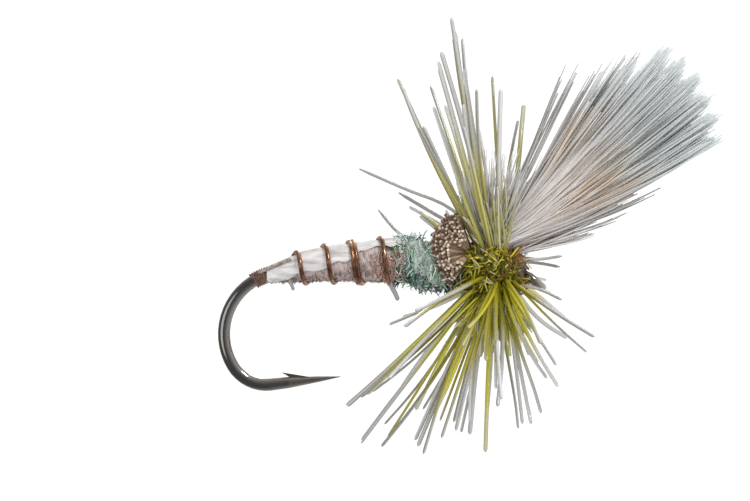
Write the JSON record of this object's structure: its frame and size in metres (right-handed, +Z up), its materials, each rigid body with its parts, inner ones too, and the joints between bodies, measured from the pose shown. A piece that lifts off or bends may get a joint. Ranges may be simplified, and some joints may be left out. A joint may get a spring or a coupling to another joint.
{
  "type": "dry fly",
  "caption": "Fishing fly on a long-shank barbed hook: ribbed abdomen, sparkle thorax, clipped hair hump, forward-raked hair wing, wound hackle, down-turned eye.",
  "frame": {"origin": "centre of the bore of the hook's eye", "axes": "+X forward along the hook's shank, from the bend to the eye; +Z up, away from the hook's point; the hook's bend, point and eye ring axis lie in the plane Y = 0"},
  "size_m": [0.025, 0.0173, 0.0215],
  "materials": {
    "hook_wire": "blackened bronze, polished",
    "olive_thread": "waxed tying thread, brown olive",
    "rear_thread": "waxed tying thread, red brown",
    "cement": "clear head cement, glossy",
    "abdomen_fibre": "fine fuzzy fibre, mauve brown",
    "underbody_thread": "thread foundation",
    "shellback_film": "pale translucent strip",
    "copper_wire": "bright copper wire",
    "thorax_fibre": "sparkling teal and blue-grey dubbing",
    "deer_hair": "hollow hair, grey brown with tan bars and pale tips",
    "butt_hair": "clipped hollow hair, brown with cream cut ends",
    "hackle_fibre": "glossy feather barbs, olive fading to grey",
    "hackle_stem": "feather quill"
  },
  "bodies": {
    "root": {"hook": "hook_wire", "thread_base": "olive_thread", "rear_thread_wraps": "rear_thread", "waist_thread_wraps": "olive_thread", "head_thread_wraps": "olive_thread", "whip_finish": "olive_thread", "head_cement": "cement", "underbody": "underbody_thread", "abdomen_wrap": "abdomen_fibre", "shellback_strip": "shellback_film", "rib_wire": "copper_wire", "thorax_dubbing": "thorax_fibre", "wing_hair": "deer_hair", "wing_butts": "butt_hair", "hackle_quill": "hackle_stem", "hackle_web": "hackle_fibre", "hackle_barbs_below": "hackle_fibre", "hackle_barbs_sides": "hackle_fibre", "hackle_barbs_above": "hackle_fibre", "hackle_barbs_rear": "hackle_fibre", "hackle_barbs_front": "hackle_fibre"}
  },
  "joints": []
}
